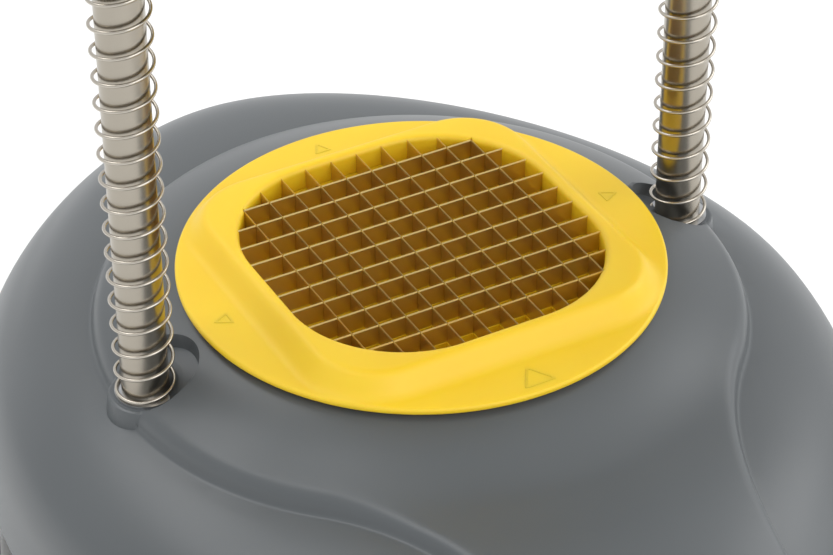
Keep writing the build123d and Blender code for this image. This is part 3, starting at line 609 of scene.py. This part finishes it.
def ring_top(x, y):
    slope = square_distance(x, y, BOSS_HALF, BOSS_CORNER)
    mouth = square_distance(x, y, OPENING_HALF, OPENING_CORNER)
    height = FLANGE_TOP + BOSS_HEIGHT * np.interp(slope, BOSS_STEPS, BOSS_SHARES)
    height -= round_drop(mouth, MOUTH_ROUND) + round_drop(RING_RADIUS - np.hypot(x, y), EDGE_ROUND)
    return np.column_stack([x, y, height])


def ring_bottom(x, y):
    mouth = square_distance(x, y, OPENING_HALF, OPENING_CORNER)
    height = FLANGE_BOTTOM + round_drop(RING_RADIUS - np.hypot(x, y), EDGE_ROUND)
    return np.column_stack([x, y, np.where(mouth < SKIRT_WALL, SKIRT_BOTTOM, height)])


def triangle(base, apex, half_width, inset):
    """Outline of a triangle that points along X, drawn in by the inset, with eased corners."""
    corners = np.array([(RING_RADIUS - base, -half_width), (RING_RADIUS - apex, 0),
                        (RING_RADIUS - base, half_width)])
    if apex > base:
        corners = corners[::-1]
    sides = np.hypot(*(np.roll(corners, -1, axis=0) - corners).T)
    weights = np.roll(sides, -1)[:, None]
    centre = (corners * weights).sum(axis=0) / weights.sum()
    inner_radius = half_width * abs(base - apex) / (sides.sum() / 2)
    corners = centre + (corners - centre) * (1 - inset / inner_radius)
    ease = np.linspace(0, 1, 5)[:, None]
    points = []
    for before, corner, after in zip(np.roll(corners, 1, axis=0), corners,
                                     np.roll(corners, -1, axis=0)):
        start, end = (corner + MARK_CORNER * (other - corner) for other in (before, after))
        points.append((1 - ease) ** 2 * start + 2 * (1 - ease) * ease * corner + ease ** 2 * end)
    return np.vstack(points)


def mark(sizes, turn):
    """Raised triangular line on the flange, turned about the ring's middle."""
    rims = ((0, -MARK_ROOT), (MARK_EDGE, MARK_HEIGHT), (MARK_LINE - MARK_EDGE, MARK_HEIGHT),
            (MARK_LINE, -MARK_ROOT))
    spin = np.array([[math.cos(turn), math.sin(turn)], [-math.sin(turn), math.cos(turn)]])
    return banded([(triangle(*sizes, inset) @ spin, FLANGE_TOP + rise) for inset, rise in rims])


def ring_mesh():
    mouth_lines = [ring_line(rounded_square(OPENING_HALF + step, OPENING_CORNER + step))
                   for step in (0, *MOUTH_STEPS)]
    slope_lines = [ring_line(rounded_square(BOSS_HALF + step, BOSS_CORNER + step,
                                            bend_count=24, run_count=26)) for step in BOSS_STEPS]
    edge_lines = [ring_line(circle(RING_RADIUS - step, count=RING_COUNT))
                  for step in EDGE_STEPS]
    near, far = GRID_CLEAR - GRID_KEEP_OFF, GRID_CLEAR
    notch_lines = [[(a * near, b * far), (a * far, b * far), (a * far, b * near)]
                   for a in (-1, 1) for b in (-1, 1)]
    x, y = seed_points(RING_RADIUS, RING_RADIUS, RING_PITCH)
    clear = np.hypot(x, y) < RING_RADIUS - RIM_KEEP_OFF
    clear &= square_distance(x, y, OPENING_HALF, OPENING_CORNER) > MOUTH_KEEP_OFF
    slope = square_distance(x, y, BOSS_HALF, BOSS_CORNER)
    clear &= (slope < BOSS_STEPS[0] - LIP_KEEP_OFF) | (slope > BOSS_STEPS[-1] + LIP_KEEP_OFF)
    plan, faces = sheet(circle(RING_RADIUS, count=RING_COUNT),
                        mouth_lines + slope_lines + edge_lines + notch_lines,
                        np.column_stack([x, y])[clear],
                        lambda x, y: (square_distance(x, y, OPENING_HALF, OPENING_CORNER) > 0)
                        & (np.hypot(x, y) < RING_RADIUS)
                        & (np.maximum(np.abs(x), np.abs(y)) > GRID_CLEAR))
    shells = [closed_between(faces, ring_top(*plan.T), ring_bottom(*plan.T))]
    shells += [mark(SIDE_MARK, turn) for turn in (0, math.pi / 2, math.pi)]
    return joined(shells + [mark(FRONT_MARK, -math.pi / 2)])


for name, node, finish, slot, build in (
        ("base_moulding", "base_shell", grey_nylon, "base_composite", base_mesh),
        ("ring_moulding", "blade_ring", yellow_nylon, "yellow_composite", ring_mesh)):
    points, faces = build()
    piece = mesh_piece(name, points * MM, faces, finish)
    piece.data.set_sharp_from_angle(angle=CREASE_ANGLE)
    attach(piece, "base")
    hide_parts(node)


def coil_tree():
    """Geometry Nodes tree that sweeps a round wire along a right-hand helix about +Z, its ends
    drawn close."""
    tree = bpy.data.node_groups.new("spring_coil", "GeometryNodeTree")
    face = tree.interface
    for label in ("Radius", "Turns", "Start", "Wire Radius", "Pitch", "Run In", "Run Out"):
        face.new_socket(label, in_out="INPUT", socket_type="NodeSocketFloat")
    face.new_socket("Foot", in_out="INPUT", socket_type="NodeSocketVector")
    face.new_socket("Finish", in_out="INPUT", socket_type="NodeSocketMaterial")
    face.new_socket("Geometry", in_out="OUTPUT", socket_type="NodeSocketGeometry")
    given = add_node(tree, "NodeGroupInput").outputs
    helix = add_node(tree, "GeometryNodeCurveSpiral", [
        ("Rotations", given["Turns"]), ("Start Radius", given["Radius"]),
        ("End Radius", given["Radius"]), ("Height", given["Turns"])], Resolution=48, Reverse=True)
    place = add_node(tree, "ShaderNodeSeparateXYZ", [
        (0, add_node(tree, "GeometryNodeInputPosition").outputs[0])])
    turn = place.outputs["Z"]
    wire = add_node(tree, "ShaderNodeMath", [(0, given["Wire Radius"]), (1, given["Wire Radius"])],
                    operation="ADD").outputs[0]
    low = add_node(tree, "ShaderNodeMath", [(0, turn), (1, wire)], operation="MULTIPLY")
    middle = add_node(tree, "ShaderNodeMath", [(0, turn), (1, given["Pitch"]),
                                               (2, given["Run In"])], operation="MULTIPLY_ADD")
    high = add_node(tree, "ShaderNodeMath", [(0, turn), (1, wire), (2, given["Run Out"])],
                    operation="MULTIPLY_ADD")
    started = add_node(tree, "ShaderNodeMath", [(0, low.outputs[0]), (1, middle.outputs[0])],
                       operation="MAXIMUM")
    height = add_node(tree, "ShaderNodeMath", [(0, started.outputs[0]), (1, high.outputs[0])],
                      operation="MINIMUM")
    spot = add_node(tree, "ShaderNodeCombineXYZ", [
        ("X", place.outputs["X"]), ("Y", place.outputs["Y"]), ("Z", height.outputs[0])])
    closed = add_node(tree, "GeometryNodeSetPosition", [
        ("Geometry", helix.outputs["Curve"]), ("Position", spot.outputs[0])])
    wire_round = add_node(tree, "GeometryNodeCurvePrimitiveCircle", [
        ("Radius", given["Wire Radius"])], Resolution=12)
    swept = add_node(tree, "GeometryNodeCurveToMesh", [
        ("Curve", closed.outputs["Geometry"]), ("Profile Curve", wire_round.outputs["Curve"])],
        Fill_Caps=True)
    spin = add_node(tree, "ShaderNodeCombineXYZ", [("Z", given["Start"])])
    placed = add_node(tree, "GeometryNodeTransform", [
        ("Geometry", swept.outputs["Mesh"]), ("Translation", given["Foot"]),
        ("Rotation", spin.outputs[0])])
    real = add_node(tree, "GeometryNodeRealizeInstances", [("Geometry", placed.outputs[0])])
    dressed = add_node(tree, "GeometryNodeSetMaterial", [
        ("Geometry", real.outputs[0]), ("Material", given["Finish"])])
    add_node(tree, "NodeGroupOutput", [("Geometry", dressed.outputs[0])])
    return tree


def grown(name, tree, **values):
    """Runs a Geometry Nodes tree with its named inputs set and returns its plain mesh piece."""
    carrier = bpy.data.objects.new(name + "_carrier", bpy.data.meshes.new(name + "_carrier"))
    bpy.context.scene.collection.objects.link(carrier)
    modifier = carrier.modifiers.new("grow", "NODES")
    modifier.node_group = tree
    for entry in tree.interface.items_tree:
        if entry.in_out == "INPUT" and entry.name.replace(" ", "_") in values:
            modifier[entry.identifier] = values[entry.name.replace(" ", "_")]
    carrier.update_tag()
    graph = bpy.context.evaluated_depsgraph_get()
    mesh = bpy.data.meshes.new_from_object(carrier.evaluated_get(graph))
    bpy.data.objects.remove(carrier)
    mesh.name = name
    mesh.polygons.foreach_set("use_smooth", [True] * len(mesh.polygons))
    piece = bpy.data.objects.new(name, mesh)
    bpy.context.scene.collection.objects.link(piece)
    return piece


spring_tree = coil_tree()
spring_length = SPRING_HEAD - SPRING_FOOT - 2 * SPRING_LIFT
spring_turns = 2 * CLOSED_TURNS + (spring_length - 2 * CLOSED_TURNS * SPRING_WIRE) / SPRING_PITCH
for side, x in (("left", -COLUMN_X), ("right", COLUMN_X)):
    spring = grown("spring_coil_" + side, spring_tree, Radius=SPRING_RADIUS * MM,
                   Turns=spring_turns, Start=SPRING_START, Wire_Radius=SPRING_WIRE / 2 * MM,
                   Pitch=SPRING_PITCH * MM, Run_In=CLOSED_TURNS * (SPRING_WIRE - SPRING_PITCH) * MM,
                   Run_Out=(spring_length - spring_turns * SPRING_WIRE) * MM,
                   Foot=(x * MM, 0, (SPRING_FOOT + SPRING_LIFT) * MM), Finish=wire_steel)
    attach(spring, "base")
    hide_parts("spring_" + side)
    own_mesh(spring)

# Table, light and camera
TABLE_HALF = 9.0
table_corners = [(-TABLE_HALF, -TABLE_HALF, 0), (TABLE_HALF, -TABLE_HALF, 0),
                 (TABLE_HALF, TABLE_HALF, 0), (-TABLE_HALF, TABLE_HALF, 0)]
table = mesh_piece("table_top", table_corners, [(0, 1, 2, 3)],
                   surface("table_white", "F4F4F3", 0.6)[0], smooth=False)

world = bpy.data.worlds.new("studio_air")
bpy.context.scene.world = world
world.use_nodes = True
world.node_tree.nodes["Background"].inputs["Color"].default_value = linear("F3F4F6")
world.node_tree.nodes["Background"].inputs["Strength"].default_value = 0.95


def softbox(name, place, aim, size, power):
    lamp = bpy.data.lights.new(name, "AREA")
    lamp.shape = "RECTANGLE"
    lamp.size, lamp.size_y = size
    lamp.energy = power
    holder = bpy.data.objects.new(name, lamp)
    holder.location = place
    holder.rotation_mode = "QUATERNION"
    holder.rotation_quaternion = (Vector(aim) - Vector(place)).to_track_quat("-Z", "Y")
    bpy.context.scene.collection.objects.link(holder)


softbox("key_softbox", (-0.5, 0.5, 1.5), (0, 0, 0.15), (1.4, 1.0), 11)
softbox("front_softbox", (0.3, -1.6, 1.2), (0, 0, 0.12), (1.4, 0.9), 11)
softbox("right_softbox", (1.5, -0.2, 1.0), (0, 0, 0.12), (1.0, 1.0), 7)

# Camera: stands left of the front and looks down into the grid; angles in radians
CAMERA_PLACE = Vector((-0.40789, -0.74514, 0.60870 + BLADE_TOP * MM))
CAMERA_AZIMUTH = -0.49892
CAMERA_ELEVATION = 0.63398
CAMERA_ROLL = -0.004584
CAMERA_LENS = 133.2
forward = -Vector((math.sin(CAMERA_AZIMUTH) * math.cos(CAMERA_ELEVATION),
                   -math.cos(CAMERA_AZIMUTH) * math.cos(CAMERA_ELEVATION),
                   math.sin(CAMERA_ELEVATION)))
level = forward.cross(Vector((0, 0, 1))).normalized()
upright = level.cross(forward)
right = math.cos(CAMERA_ROLL) * level + math.sin(CAMERA_ROLL) * upright
top = math.cos(CAMERA_ROLL) * upright - math.sin(CAMERA_ROLL) * level
lens = bpy.data.cameras.new("studio_camera")
lens.lens = CAMERA_LENS
lens.sensor_width = 36
lens.clip_start = 0.01
camera = bpy.data.objects.new("studio_camera", lens)
turn = Matrix((right, top, -forward)).transposed().to_4x4()
camera.matrix_world = Matrix.Translation(CAMERA_PLACE) @ turn
bpy.context.scene.collection.objects.link(camera)
bpy.context.scene.camera = camera
bpy.context.scene.view_settings.view_transform = "Standard"
